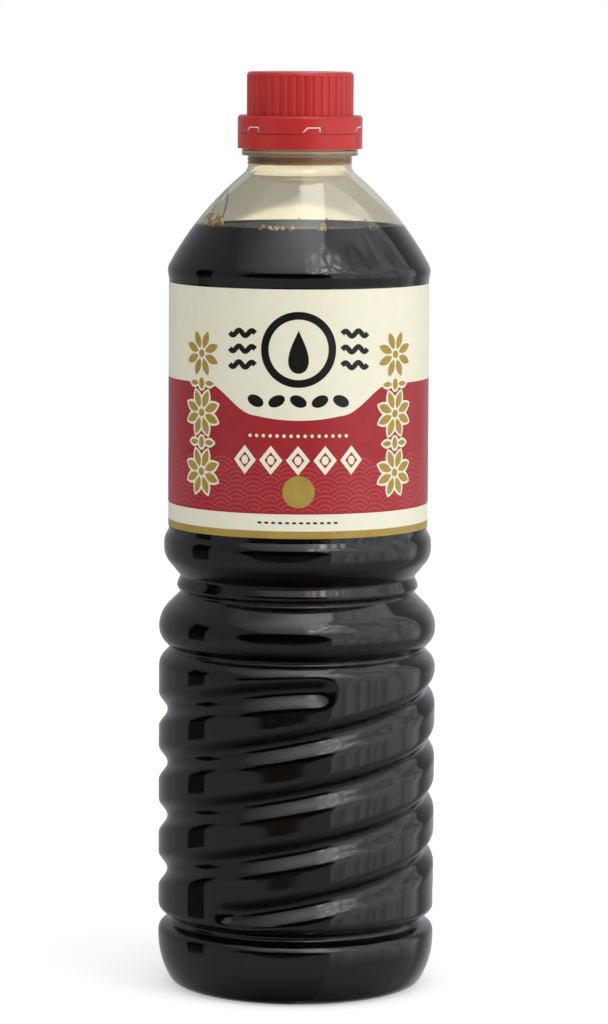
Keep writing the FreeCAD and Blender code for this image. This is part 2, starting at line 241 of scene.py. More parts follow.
outer = blown_wall(0)
print("outline of the wall:", len(outer), "points")

# %% [markdown]
# ## Spiral grip
# The three hollows that wind round the lower half make the soft bottle stiff and easy to hold.  In the mould
# they are rounded troughs with round ends.  Here the smooth wall is spun first, and then each point of
# the grip moves in towards the axis by the depth of the nearest trough.  That gives clean rows of faces,
# where a boolean cut would leave ragged ones.

# %% Spiral grooves
groove_count, groove_depth, groove_half_w = 3, 2.6, 4.95  # half width: from the middle to the edge
groove_pitch, groove_sweep = 47.5, 518.4  # rise in a full turn, turn from end to end
groove_first_az, groove_start_gap = -29.0, 2.3  # start of the first one, and its height there
groove_start_ease, groove_end_ease = 10.0, 34.0  # it levels out over these turns, in degrees


def groove_cut(azimuth, z):
    """Depth of the spiral grooves at a place on the wall, in mm; azimuth 0 is the front."""
    nearest = groove_half_w
    sector = 360 / groove_count
    start = (azimuth - groove_first_az) % sector - sector
    while start < groove_sweep + sector:
        turned = min(max(start, 0.0), groove_sweep)
        early = min(turned, groove_start_ease)
        late = max(0.0, turned - groove_sweep + groove_end_ease)
        lost = early - early ** 2 / (2 * groove_start_ease) + late ** 2 / (2 * groove_end_ease)
        rate = min(1.0, turned / groove_start_ease, (groove_sweep - turned) / groove_end_ease)
        slope = groove_pitch * rate / (2 * math.pi * body_r)
        past_end = math.radians(start - turned) * body_r
        above = z - z_spiral - groove_start_gap - groove_pitch * (turned - lost) / 360
        nearest = min(nearest, math.hypot(past_end, above / math.sqrt(1 + slope ** 2)))
        start += sector
    return groove_depth * (1 + math.cos(math.pi * nearest / groove_half_w)) / 2


def press_grooves(bm):
    """Moves the points of the grip inwards."""
    for vert in bm.verts:
        x, y, z = vert.co
        radius = math.hypot(x, y)
        if z_foot_groove < z / MM < z_ring_groove and radius > stand_inner_r * MM:
            cut = groove_cut(math.degrees(math.atan2(x, -y)), z / MM) * MM
            vert.co.x *= 1 - cut / radius
            vert.co.y *= 1 - cut / radius


print(groove_count, "grooves, each", groove_depth, "mm deep and", round(groove_sweep), "degrees long")

# %% [markdown]
# ## Clear PET
# Polyethylene terephthalate, blown warm into a polished mould: it is clear and glossy, with an index of
# refraction of 1.575 and faint long waves where it cooled.  A trace of sauce has stained the neck, which
# the colour takes up by height.  Light passes four faces on its way through the bottle, so the colour
# of one wall stays pale.

# %% Material helpers
def material(name):
    """A new material with its node tree, its shader and its object coordinates."""
    made = bpy.data.materials.new(name)
    made.use_nodes = True
    tree = made.node_tree
    shader = tree.nodes["Principled BSDF"]
    place = node(tree, "TexCoord", out="Object")
    return made, tree, shader, place


def settings(shader, **values):
    """Sets or links sockets of a shader, with an underscore for each space in a socket's name."""
    for name, value in values.items():
        socket = shader.inputs[name.replace("_", " ")]
        if isinstance(value, bpy.types.NodeSocket):
            shader.id_data.links.new(value, socket)
        else:
            socket.default_value = value


print("each material starts with a shader and its object coordinates")


# %% PET material
# PET, blown against a polished mould: the eye sees a clear, glassy gloss with slow waves in it.
stain_low, stain_high = 238.5, 246.5  # the tint of the neck lies between these heights
pet, tree, shader, place = material("clear blown PET")
settings(shader, Roughness=0.02, IOR=1.575, Transmission_Weight=1.0)
height = node(tree, "SeparateXYZ", {"Vector": place}, out="Z")
stain = node(tree, "TexNoise", {"Vector": place, "Scale": 180.0, "Detail": 3.0})
ragged = node(tree, "Math", (stain, 2.5 * MM, height), operation="MULTIPLY_ADD")
level = node(tree, "MapRange", (ragged, stain_low * MM, stain_high * MM))
tint = node(tree, "ValToRGB", {"Fac": level}, stops=(
    (0.0, "#FEF8E4"), (0.35, "#FCF6E2"), (0.5, "#F4EAD8"), (0.65, "#F4EAD8"), (0.75, "#FEF8E4")))
long_waves = node(tree, "TexNoise", {"Vector": place, "Scale": 55.0, "Detail": 1.5, "Roughness": 0.4})
normal = node(tree, "Bump", {"Height": long_waves, "Strength": 0.25, "Distance": 0.10 * MM})
settings(shader, Base_Color=tint, Normal=normal)
print(pet.name, "has", len(tree.nodes), "nodes")

# %% [markdown]
# ## Bottle
# One closed shell: the outline goes up outside, over the support ring and the finish under the cap, and down
# again inside.  The ribs on the bare neck and the ring's rounded edges are part of the outline.

# %% Bottle
STEPS = 180  # faces round the bottle
NECK_RIBS = (0.5, 1.45)  # two ribs on the bare neck, this far above its start
RIB_OUT, RIB_FOOT, RIB_EDGE = 0.22, 0.3, 0.1  # how far a rib stands out, and its half heights
RING_EDGE, RIM_EDGE = 0.35, 0.4  # rounding of the support ring, and bevel of the rim
bead_r, z_bead, z_bead_top = 14.6, 247.4, 248.6  # bead that holds the tamper band
z_bore, z_funnel = 249.5, 246.4  # inside, the wall widens from the bore downwards between these


def bottle_outline():
    """Outline of the whole shell, up outside and down inside."""
    neck = []
    for z in (z_neck + rib for rib in NECK_RIBS):
        neck += [(neck_r, z - RIB_FOOT), (neck_r + RIB_OUT, z - RIB_EDGE)]
        neck += [(neck_r + RIB_OUT, z + RIB_EDGE), (neck_r, z + RIB_FOOT)]
    ring = [(neck_r, z_ring - 0.2), (neck_r + 0.2, z_ring)]
    ring += arc((ring_r - RING_EDGE, z_ring + RING_EDGE), RING_EDGE, -90, 0)
    ring += arc((ring_r - RING_EDGE, z_ring_top - RING_EDGE), RING_EDGE, 0, 90)
    finish = [(finish_r, z_ring_top), (finish_r, z_bead), (bead_r, z_bead), (finish_r, z_bead_top)]
    finish += [(finish_r, z_finish - RIM_EDGE), (finish_r - RIM_EDGE, z_finish)]
    bore = [(bore_r + RIM_EDGE, z_finish), (bore_r, z_finish - RIM_EDGE), (bore_r, z_bore)]
    bore += [(finish_r - 1.0, z_funnel), (finish_r - 0.5, z_ring + 0.4), (neck_r - wall, z_ring - 0.9)]
    return outer + neck + ring + finish + bore + blown_wall(wall)[::-1]


bm = spun(bottle_outline(), STEPS)
press_grooves(bm)
bottle = piece("bottle_wall", bm, pet)
bottle.visible_shadow = False  # a clear wall lets the lamps reach the froth behind it
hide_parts("bottle")

# %% [markdown]
# ## Sauce
# Naturally dark soy sauce is nearly opaque: it is almost black, with a red-brown tinge where it is thin.  The
# piece reaches a quarter of a millimetre into the wall, so that no gap of air shows between them.  At the
# wall the surface climbs up in a small meniscus.

# %% Sauce
OVERLAP = 0.25  # the sauce reaches this far into the wall, mm
MENISCUS = 1.5  # climb of the surface at the wall, up to the level of the solid model
MENISCUS_REACH = 1.1  # it dies away over this distance
TOP_GAP = 0.02  # its edge stays this far under the level of the solid model

# Soy sauce behind the clear wall: a red-brown black, whose gloss comes from the wall in front of it.
sauce_mat, tree, shader, place = material("soy sauce, nearly opaque")
settings(shader, Roughness=0.12, IOR=1.38, Specular_IOR_Level=0.08)
clouds = node(tree, "TexNoise", {"Vector": place, "Scale": 35.0, "Detail": 3.0})
tint = node(tree, "ValToRGB", {"Fac": clouds}, stops=((0.3, "#050302"), (0.7, "#0B0503")))
normal = node(tree, "Bump", {"Height": clouds, "Strength": 0.1, "Distance": 0.1 * MM})
settings(shader, Base_Color=tint, Normal=normal)


def radius_at(z, inset):
    """Radius of the plain wall at a height on the shoulder."""
    points = [p for p in blown_wall(inset) if p[1] > z_shoulder - 5]
    for (r0, z0), (r1, z1) in zip(points, points[1:]):
        if z0 <= z <= z1:
            return r0 + (r1 - r0) * (z - z0) / (z1 - z0)
    return points[-1][0]


z_flat = z_level - MENISCUS


def sauce_outline():
    """Outline of the sauce: the wall's inside, then the meniscus and the flat surface."""
    z_edge = z_level - TOP_GAP
    inside = [p for p in blown_wall(wall - OVERLAP) if p[1] < z_edge]
    edge_r = radius_at(z_edge, wall - OVERLAP)
    top = [(edge_r, z_edge)]
    for away in (0.3, 0.6, 1.0, 1.6, 2.4, 3.6, 6.0):
        top.append((edge_r - away, z_flat + MENISCUS * math.exp(-away / MENISCUS_REACH)))
    return inside + top + [(edge_r / 2, z_flat), (0, z_flat)]


bm = spun(sauce_outline(), STEPS)
press_grooves(bm)
sauce = piece("sauce_fill", bm, sauce_mat)
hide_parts("sauce")

# %% [markdown]
# ## Froth at the edge of the sauce
# A few golden bubbles stay at the front of the sauce's edge, with a larger cluster on the left.  Each one
# is a small sphere of thin brown film, and all of them are one piece.

# %% Froth
# Thin films of sauce round air: small golden beads, darker between.
froth, tree, shader, place = material("froth of soy sauce")
settings(shader, Roughness=0.10, IOR=1.33, Transmission_Weight=0.2)
grains = node(tree, "TexNoise", {"Vector": place, "Scale": 900.0, "Detail": 2.0})
tint = node(tree, "ValToRGB", {"Fac": grains}, stops=((0.4, "#A97C34"), (0.6, "#FFEBB0")))
settings(shader, Base_Color=tint)

FROTH_IN_WALL = 0.42  # the bubbles reach this far into the wall, past the sauce, so that they show
SINK, BOB = 0.1, 0.5  # they float this far below the level, and as much as this up or down from there
PILE_H, MANY = 3.2, 30  # a cluster of more than this many bubbles piles up this high
SEED = 7
# (azimuth from, azimuth to, count, smallest and largest radius in mm)
clusters = [
    (-74, -48, 44, 0.22, 1.0), (-22, -18, 4, 0.25, 0.6), (-17, -8, 22, 0.2, 0.6),
    (-6, -2.5, 4, 0.5, 1.1), (10, 15, 10, 0.3, 1.3), (17, 20, 3, 0.2, 0.35),
    (38, 50, 7, 0.15, 0.3), (-90, -76, 9, 0.15, 0.45), (130, 230, 18, 0.15, 0.45),
]
dice = random.Random(SEED)
bm = bmesh.new()
for az0, az1, count, small, large in clusters:
    for i in range(count):
        azimuth = math.radians(dice.uniform(az0, az1))
        radius = small + (large - small) * dice.random() ** 2
        pile = PILE_H * (1 - abs(dice.uniform(-1, 1))) if count > MANY else 0
        z = z_level - SINK + dice.uniform(-BOB, BOB) + pile
        r = radius_at(z, wall) - radius + FROTH_IN_WALL
        at = Vector((r * math.sin(azimuth), -r * math.cos(azimuth), z)) * MM
        bmesh.ops.create_uvsphere(bm, u_segments=12, v_segments=8, radius=radius * MM,
                                  matrix=Matrix.Translation(at))
piece("froth", bm, froth)

# %% [markdown]
# ## Dried film in the neck
# Each pour leaves a little sauce in the neck, which dries there to a brown film with level lines.  Its
# colours
# are partly painted light: near-white bands behind the support ring are painted highlights, and the whole
# film is lightened against the shade of the tamper band.  It is a thin ring that follows the inside of the
# neck and touches the wall all the way up.

# %% Stained neck, partly painted light
# Dried sauce: a satin brown with level lines, pale at its foot where the film is thin.  The near-white bands
# higher up, behind the support ring, are painted highlights, and every colour is lightened against the shade
# under the tamper band, which is painted light as well.
lines_low, lines_high = 241.6, 246.0  # the level lines lie between these heights
z_film, z_film_top = 241.5, 249.4  # and the film itself between these
neck_film_with_painted_light, tree, shader, place = material("dried film of soy sauce with painted light")
settings(shader, Roughness=0.45, IOR=1.38)
height = node(tree, "SeparateXYZ", {"Vector": place}, out="Z")
ragged = node(tree, "TexNoise", {"Vector": place, "Scale": 150.0, "Detail": 3.0})
ragged = node(tree, "Math", (ragged, 0.5 * MM, height), operation="MULTIPLY_ADD")
level = node(tree, "MapRange", (ragged, lines_low * MM, lines_high * MM))
# Painted light in these stops: the near-white ones near the top are the support ring's painted highlights,
# and all are lightened against the band's shade.
tint = node(tree, "ValToRGB", {"Fac": level}, stops=(
    (0.0, "#E0D4B8"), (0.12, "#B28C67"), (0.3, "#A17655"), (0.45, "#D3AC8A"), (0.6, "#84604A"),
    (0.74, "#EAD0B8"), (0.88, "#FFFDF2")))
settings(shader, Base_Color=tint)
INTO_WALL, FILM = 0.1, 0.25  # the film reaches this far into the wall, and its thickness, mm
inner_neck = [(neck_r - wall, z_film), (neck_r - wall, z_ring - 0.9), (finish_r - 0.5, z_ring + 0.4),
              (finish_r - 1.0, z_funnel), (bore_r, z_film_top)]
wall_side = [(r + INTO_WALL, z) for r, z in inner_neck]
air_side = [(r - FILM, z) for r, z in wall_side[::-1]]
bm = spun(wall_side + air_side, STEPS, closed=True)
piece("neck_stain_and_painted_light", bm, neck_film_with_painted_light)

# %% [markdown]
# ## Film of sauce on the shoulder
# Sauce that ran down inside left two thin dark threads which meet above the cluster of bubbles.  They are
# round threads that follow the inside of the wall, made from a curve and turned to mesh.

# %% Threads of sauce
def thread(name, path, thickness, finish):
    """A thin round thread through points (azimuth, height in mm) on the inside of the wall."""
    data = bpy.data.curves.new(name, "CURVE")
    data.dimensions = "3D"
    data.bevel_depth = thickness * MM
    data.bevel_resolution = 2
    data.use_fill_caps = True
    spline = data.splines.new("NURBS")
    spline.points.add(len(path) - 1)
    for point, (azimuth, z) in zip(spline.points, path):
        r = radius_at(z, wall) - thickness / 2
        a = math.radians(azimuth)
        point.co = (r * math.sin(a) * MM, -r * math.cos(a) * MM, z * MM, 1)
    spline.order_u = 3
    spline.use_endpoint_u = True
    source = bpy.data.objects.new(name + "_curve", data)
    bpy.context.scene.collection.objects.link(source)
    bpy.context.view_layer.update()
    curve = source.evaluated_get(bpy.context.evaluated_depsgraph_get())
    mesh = bpy.data.meshes.new_from_object(curve)
    bpy.data.objects.remove(source)
    bm = bmesh.new()
    bm.from_mesh(mesh)
    piece(name, bm, finish)


left = [(-62, 224.0), (-66, 226.2), (-71, 228.2), (-76, 230.6), (-80, 233.4)]
right = [(-50, 224.0), (-53, 227.2), (-58, 230.0), (-67, 232.4), (-80, 233.6)]
thread("thread_left", left, 0.12, sauce_mat)
thread("thread_right", right, 0.15, sauce_mat)

# %% [markdown]
# ## Label
# A film of white plastic, printed and wound once round the panel, with its end glued over its start at the
# back.  The film is a thin closed ring.  The printed layers start and end at the back, which leaves the fine
# line of the glued edge there.

# %% Label film
label_r = round(max(abs(label_low.y), label_high.y) / MM, 2)
label_z0, label_z1 = label_low.z / MM, label_high.z / MM


# Gravure ink on polypropylene film: a satin colour with a faint grain and soft creases.
def film(name, hex_code, sheen_hex):
    """A printed film of one ink, whose grain goes from one hex colour to the other."""
    made, tree, shader, place = material(name)
    settings(shader, Roughness=0.34, IOR=1.5, Specular_IOR_Level=0.45)
    grain = node(tree, "TexNoise", {"Vector": place, "Scale": 260.0, "Detail": 4.0})
    tint = node(tree, "ValToRGB", {"Fac": grain}, stops=((0.35, hex_code), (0.65, sheen_hex)))
    creases = node(tree, "TexNoise", {"Vector": place, "Scale": 60.0, "Detail": 2.0})
    normal = node(tree, "Bump", {"Height": creases, "Strength": 0.15, "Distance": 0.12 * MM})
    settings(shader, Base_Color=tint, Normal=normal)
    return made


cream = film("label film, cream ink", "#F2EED6", "#F5F1DA")
section = [(panel_r, label_z0), (label_r, label_z0), (label_r, label_z1), (panel_r, label_z1)]
bm = spun(section, STEPS, closed=True)
label = piece("label_film", bm, cream)
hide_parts("label")
print("label radius", label_r, "from", round(label_z0, 1), "to", round(label_z1, 1))

# %% [markdown]
# ## Printing
# Each colour of ink is its own thin layer, a few hundredths of a millimetre proud, so that it keeps a clean
# edge from near by.  Shapes are drawn flat, as (distance round the label, height) points in millimetres,
# given a thickness, cut across every two millimetres and then bent round the label.

# %% Printing helpers
STRIP = 2.0  # a printed shape is cut across this often before it is bent
SUNK = 0.03  # a layer's foot lies this deep in the film
# how far each layer stands out of the film; a later one covers an earlier one
LIFT = {"ground": 0.03, "black": 0.05, "waves": 0.06, "cream": 0.08, "disc": 0.10, "gold": 0.11}


def shape(bm, outline):
    """Adds one flat printed shape."""
    verts = [bm.verts.new((u * MM, 0, z * MM)) for u, z in outline]
    return bm.faces.new(verts)


def circle(u, z, radius, count=40):
    """Outline of a circle."""
    return [(u + radius * math.cos(2 * math.pi * i / count), z + radius * math.sin(2 * math.pi * i / count))
            for i in range(count)]


def ellipse(u, z, half_u, half_z, turned=0.0, count=32):
    """Outline of an ellipse, turned by some degrees."""
    c, s = math.cos(math.radians(turned)), math.sin(math.radians(turned))
    flat = [(half_u * math.cos(2 * math.pi * i / count), half_z * math.sin(2 * math.pi * i / count))
            for i in range(count)]
    return [(u + a * c - b * s, z + a * s + b * c) for a, b in flat]


def leaf(u, z, length, width, turned, count=12):
    """A pointed leaf from its foot (u, z); turned is the direction of its tip, in degrees."""
    c, s = math.cos(math.radians(turned)), math.sin(math.radians(turned))
    edge = [(length * i / count, width / 2 * math.sin(math.pi * i / count) ** 0.8) for i in range(count + 1)]
    flat = edge + [(a, -b) for a, b in edge[-2:0:-1]]
    return [(u + a * c - b * s, z + a * s + b * c) for a, b in flat]


def stroke(bm, path, width):
    """Adds a line of some width through (u, z) points, as a row of four-sided faces."""
    left, right = [], []
    for i, (u, z) in enumerate(path):
        (u0, z0), (u1, z1) = path[max(i - 1, 0)], path[min(i + 1, len(path) - 1)]
        run = math.dist((u0, z0), (u1, z1))
        nu, nz = -(z1 - z0) / run * width / 2, (u1 - u0) / run * width / 2
        left.append(bm.verts.new(((u + nu) * MM, 0, (z + nz) * MM)))
        right.append(bm.verts.new(((u - nu) * MM, 0, (z - nz) * MM)))
    for i in range(len(path) - 1):
        bm.faces.new((left[i], right[i], right[i + 1], left[i + 1]))


def printed(name, bm, ink, lift, cut=True):
    """Gives the flat shapes a thickness, bends them round the label and makes them a piece."""
    bmesh.ops.remove_doubles(bm, verts=bm.verts, dist=MERGE)
    bmesh.ops.triangulate(bm, faces=[f for f in bm.faces if len(f.verts) > 4])
    low = min(v.co.x for v in bm.verts) / MM
    high = max(v.co.x for v in bm.verts) / MM
    u = math.ceil(low / STRIP) * STRIP
    while cut and u < high:
        geom = list(bm.verts) + list(bm.edges) + list(bm.faces)
        bmesh.ops.bisect_plane(bm, geom=geom, dist=1e-7, plane_co=(u * MM, 0, 0), plane_no=(1, 0, 0))
        u += STRIP
    made = bmesh.ops.extrude_face_region(bm, geom=list(bm.faces))
    for item in made["geom"]:
        if isinstance(item, bmesh.types.BMVert):
            item.co.y -= (lift + SUNK) * MM
    for vert in bm.verts:
        azimuth = vert.co.x / (label_r * MM)
        radius = (label_r - SUNK) * MM - vert.co.y
        vert.co.x, vert.co.y = radius * math.sin(azimuth), -radius * math.cos(azimuth)
    return piece(name, bm, ink)


print("print layers stand out by", LIFT)

# %% [markdown]
# ## Red and gold grounds
# The lower half of the label is red, with a wide dip in its top edge.  A cream strip and a gold band close
# the label at the bottom.  The back repeats the dip.

# %% Grounds
red = film("label film, red ink", "#A42029", "#AA262E")
pale_red = film("label film, light red ink", "#B63E45", "#BC464C")
gold = film("label film, gold ink", "#A98C3C", "#B39747")
black = film("label film, black ink", "#141211", "#1C1A18")
half_round = math.pi * label_r
z_red, z_red_dip, z_red_side = 143.0, 169.8, 179.6  # foot of the red, its top in the dip and beside it
DIP_HALF, DIP_EDGE, DISH = 12.5, 16.0, 1.3  # half the dip's floor, its slope, the floor's sag
z_gold = 138.1  # top of the gold band


def red_top(u):
    """Height of the red's top edge: flat in the middle of the front and of the back, higher at the sides."""
    away = min(abs(u), half_round - abs(u))
    t = min(1.0, max(0.0, (away - DIP_HALF) / DIP_EDGE))
    floor = z_red_dip + DISH * (min(away, DIP_HALF) / DIP_HALF) ** 2
    return floor + (z_red_side - z_red_dip - DISH) * t * t * (3 - 2 * t)


def ground(name, low, top, ink, lift):
    """A field of ink all round the label, from one height up to another that may vary round it."""
    bm = bmesh.new()
    bmesh.ops.create_grid(bm, x_segments=STEPS, y_segments=1, size=0.5)
    for vert in bm.verts:
        u = vert.co.x * 2 * half_round
        z = low if vert.co.y < 0 else top(u)
        vert.co = (u * MM, 0, z * MM)
    return printed(name, bm, ink, lift, cut=False)


ground("print_red", z_red, red_top, red, LIFT["ground"])
ground("print_gold_band", label_z0, lambda u: z_gold, gold, LIFT["ground"])

# %% [markdown]
# ## Wave pattern
# The traditional pattern of overlapping sea waves fills the lower part of the red in a lighter red.  Each
# wave is a set of half circles, and the parts that the next rows cover are left out.

# %% Waves
WAVE_R, WAVE_LINE = 5.3, 0.42  # radius of one wave, and width of its lines
WAVE_RINGS = (0.96, 0.72, 0.48, 0.24)  # its half circles, as shares of the radius
WAVE_TURN = 10  # degrees from one point of a half circle to the next
wave_count = round(2 * half_round / (2 * WAVE_R))
wave_pitch = 2 * half_round / wave_count
rows = [(z_red + 0.2 + i * WAVE_R / 2, i % 2) for i in range(-2, 5)]
bm = bmesh.new()
for zc, odd in rows:
    for i in range(wave_count):
        uc = -half_round + wave_pitch * (i + 0.5 * odd + 0.25)
        fronts = [(uc + side * wave_pitch / 2, zc - WAVE_R / 2) for side in (-1, 1)] + [(uc, zc - WAVE_R)]
        for share in WAVE_RINGS:
            run = []
            for step in range(180 // WAVE_TURN + 1):
                a = math.radians(step * WAVE_TURN)
                u, z = uc + WAVE_R * share * math.cos(a), zc + WAVE_R * share * math.sin(a)
                shown = all(math.dist((u, z), front) > WAVE_R for front in fronts) and z > z_red + 0.3
                if shown:
                    run.append((u, z))
                if run and (not shown or step == 180 // WAVE_TURN):
                    if len(run) > 1:
                        stroke(bm, run, WAVE_LINE)
                    run = []
printed("print_waves", bm, pale_red, LIFT["waves"], cut=False)

# %% [markdown]
# ## Ornaments
# At each side stands a column of three gold rosettes, with a bean between two small leaves from one to the
# next, all with a cream rim.  In the middle is a plain ring with a drop between short wavy lines, over a row
# of beans, a row of lozenges and a gold disc.  All are simple figures that any label might carry.  The
# columns, the row of lozenges and the disc are repeated at the back; the row of beans is not.

# %% Rosettes
PETALS, PETAL, PETAL_W = 8, 5.2, 2.4  # number, length and width of a rosette's petals
PETAL_FOOT, HEART_R = 1.6, 1.1  # where the petals start, and the disc in the middle
COLUMN_U, COLUMN_Z = 31.0, (154.0, 171.0, 188.0)
BEAN_W, BEAN_H = 1.0, 1.6  # half sizes of the bean between two rosettes
LEAF_FOOT, LEAF, LEAF_W = 1.4, 3.4, 1.5  # where its two leaves start, their length and width
RIM = 0.7  # width of the cream rim


def rosette_column(u, grow):
    """Outlines of one column; grow widens every outline, for the rim."""
    outlines = []
    for z in COLUMN_Z:
        outlines.append(circle(u, z, HEART_R + grow))
        for k in range(PETALS):
            way = 360 * (k + 0.5) / PETALS
            foot_u = u + (PETAL_FOOT - grow) * math.cos(math.radians(way))
            foot_z = z + (PETAL_FOOT - grow) * math.sin(math.radians(way))
            outlines.append(leaf(foot_u, foot_z, PETAL + 2 * grow, PETAL_W + 2 * grow, way))
    for low, high in zip(COLUMN_Z, COLUMN_Z[1:]):
        z = (low + high) / 2
        outlines.append(ellipse(u, z, BEAN_W + grow, BEAN_H + grow))
        outlines.append(leaf(u + LEAF_FOOT - grow, z, LEAF + 2 * grow, LEAF_W + 2 * grow, 0))
        outlines.append(leaf(u - LEAF_FOOT + grow, z, LEAF + 2 * grow, LEAF_W + 2 * grow, 180))
    return outlines


gold_bm, rim_bm = bmesh.new(), bmesh.new()
for centre in (0.0, half_round):
    for side in (-1, 1):
        for outline in rosette_column(centre + side * COLUMN_U, 0.0):
            shape(gold_bm, outline)
        for outline in rosette_column(centre + side * COLUMN_U, RIM):
            shape(rim_bm, outline)
printed("print_rosette_rims", rim_bm, cream, LIFT["cream"])
printed("print_rosettes", gold_bm, gold, LIFT["gold"])

# %% [markdown]
# ## Middle ornaments
# The ring, the drop and the lines are black ink, and the ring is a row of four-sided faces, so that it has a
# true hole.  The dots and lozenges are cream and stand over the red, and the disc is gold.

# %% Ring, drop and wavy lines
RING_Z, RING_IN, RING_OUT, RING_STEP = 190.0, 8.6, 10.8, 5  # height, radii, degrees of one face
DROP_W, DROP_H, DROP_DOWN, DROP_POINTS = 4.1, 6.2, 0.6, 48  # half sizes, and how far it hangs down
WAVY_U, WAVY_LONG, WAVY_STEP = 12.6, 8.0, 4.5  # start, length, and from one to the next
WAVY_SWING, WAVY_W = 0.75, 1.5  # swing and width of the line
BEANS, BEAN_STEP, BEAN_Z, BEAN_TURN = 5, 6.2, 175.3, 24
SPECKS, SPECK_STEP, SPECK_Z = 12, 2.0, 140.5
bm = bmesh.new()
for k in range(360 // RING_STEP):
    a0, a1 = math.radians(RING_STEP * k), math.radians(RING_STEP * (k + 1))
    corners = ((RING_IN, a0), (RING_OUT, a0), (RING_OUT, a1), (RING_IN, a1))
    shape(bm, [(r * math.cos(a), RING_Z + r * math.sin(a)) for r, a in corners])
turns = [2 * math.pi * i / DROP_POINTS for i in range(DROP_POINTS)]
shape(bm, [(DROP_W * math.sin(t) * math.sin(t / 2) ** 1.4, RING_Z - DROP_DOWN + DROP_H * math.cos(t))
           for t in turns])
for side in (-1, 1):
    for z in (RING_Z - WAVY_STEP, RING_Z, RING_Z + WAVY_STEP):
        path = [(side * (WAVY_U + WAVY_LONG * i / 20), z + WAVY_SWING * math.sin(2 * math.pi * i / 10))
                for i in range(21)]
        stroke(bm, path, WAVY_W)
for k in range(BEANS):
    turned = BEAN_TURN if k % 2 else -BEAN_TURN
    shape(bm, ellipse((k - (BEANS - 1) / 2) * BEAN_STEP, BEAN_Z, 2.5, 1.6, turned))
for k in range(SPECKS):
    shape(bm, ellipse((k - (SPECKS - 1) / 2) * SPECK_STEP, SPECK_Z, 0.62, 0.3))
printed("print_black", bm, black, LIFT["black"])

# %% Dots, lozenges and discs
DOTS, DOT_R, DOT_STEP, DOT_Z = 15, 0.5, 2.0, 165.4
LOZENGES, LOZENGE_STEP, LOZENGE_Z = 5, 7.8, 158.4
LOZENGE_W, LOZENGE_H, LOZENGE_HOLE = 3.4, 4.2, 0.55  # half sizes, and the hole as a share of them
DISC_U, DISC_Z, DISC_R = 0.2, 149.4, 4.6
corners = [(LOZENGE_W, 0), (0, LOZENGE_H), (-LOZENGE_W, 0), (0, -LOZENGE_H)]
bm, disc_bm = bmesh.new(), bmesh.new()
for centre in (0.0, half_round):
    for k in range(DOTS):
        shape(bm, circle(centre + (k - (DOTS - 1) / 2) * DOT_STEP, DOT_Z, DOT_R, 12))
    for k in range(LOZENGES):
        u = centre + (k - (LOZENGES - 1) / 2) * LOZENGE_STEP
        for start, end in zip(corners, corners[1:] + corners[:1]):
            quad = [start, end] + [(du * LOZENGE_HOLE, dz * LOZENGE_HOLE) for du, dz in (end, start)]
            shape(bm, [(u + du, LOZENGE_Z + dz) for du, dz in quad])
        shape(bm, ellipse(u, LOZENGE_Z, 1.0, 1.25))
    shape(disc_bm, circle(centre + DISC_U, DISC_Z, DISC_R, 56))
printed("print_cream", bm, cream, LIFT["cream"])
printed("print_disc", disc_bm, gold, LIFT["disc"])

# %% [markdown]
# ## Cap and tamper band
# Both are injection-moulded polypropylene in one red, with a satin gloss.  The solid model already has their
# ribs, teeth and bridges, so they stay and only get their material.  The thin web in the tear line
# has been stretched by the mould and is paler.

# %% Cap
# PP, poured hot into a steel mould: a satin red that lets a little light in, with faint flow marks.
red_pp, tree, shader, place = material("red moulded polypropylene")
settings(shader, Roughness=0.3, IOR=1.49, Subsurface_Weight=0.12, Subsurface_Scale=1.0 * MM)
flow = node(tree, "TexNoise", {"Vector": place, "Scale": 120.0, "Detail": 3.0})
tint = node(tree, "ValToRGB", {"Fac": flow}, stops=((0.3, "#C02A28"), (0.7, "#CA322E")))
normal = node(tree, "Bump", {"Height": flow, "Strength": 0.2, "Distance": 0.05 * MM})
settings(shader, Base_Color=tint, Normal=normal)
for name in ("cap", "tamper_band"):
    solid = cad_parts[name]
    solid.material_slots[0].material = red_pp
    print(name, "keeps its solid,", len(solid.data.polygons), "faces")

# %% Web in the tear line
# The same plastic, drawn so thin that it has gone white: pale above, and dark red below, which is painted
# shade.
web_in, web_out, z_web, z_web_top = 17.2, 18.06, 249.9, 252.7
z_pale, z_palest = 250.6, 252.6  # it turns from dark to pale between these heights
web, tree, shader, place = material("stretched web of polypropylene, painted shade below")
settings(shader, Roughness=0.4, IOR=1.49)
height = node(tree, "SeparateXYZ", {"Vector": place}, out="Z")
flow = node(tree, "TexNoise", {"Vector": place, "Scale": 250.0, "Detail": 2.0})
ragged = node(tree, "Math", (flow, 0.4 * MM, height), operation="MULTIPLY_ADD")
level = node(tree, "MapRange", (ragged, z_pale * MM, z_palest * MM))
# The dark red stop at the foot is painted shade; the pale stops are the plastic's own whitening.
tint = node(tree, "ValToRGB", {"Fac": level}, stops=((0.15, "#8E2522"), (0.4, "#F6D4CE"), (0.9, "#FBE6E2")))
settings(shader, Base_Color=tint)
section = [(web_in, z_web), (web_out, z_web), (web_out, z_web_top), (web_in, z_web_top)]
bm = spun(section, 144, closed=True)
piece("tear_web", bm, web)

# %% [markdown]
# ## Floor
# The bottle stands on a plain pale floor, a wide round sheet.  A faint glow of its own takes it up to white,
# and the shadow under the bottle stays soft.

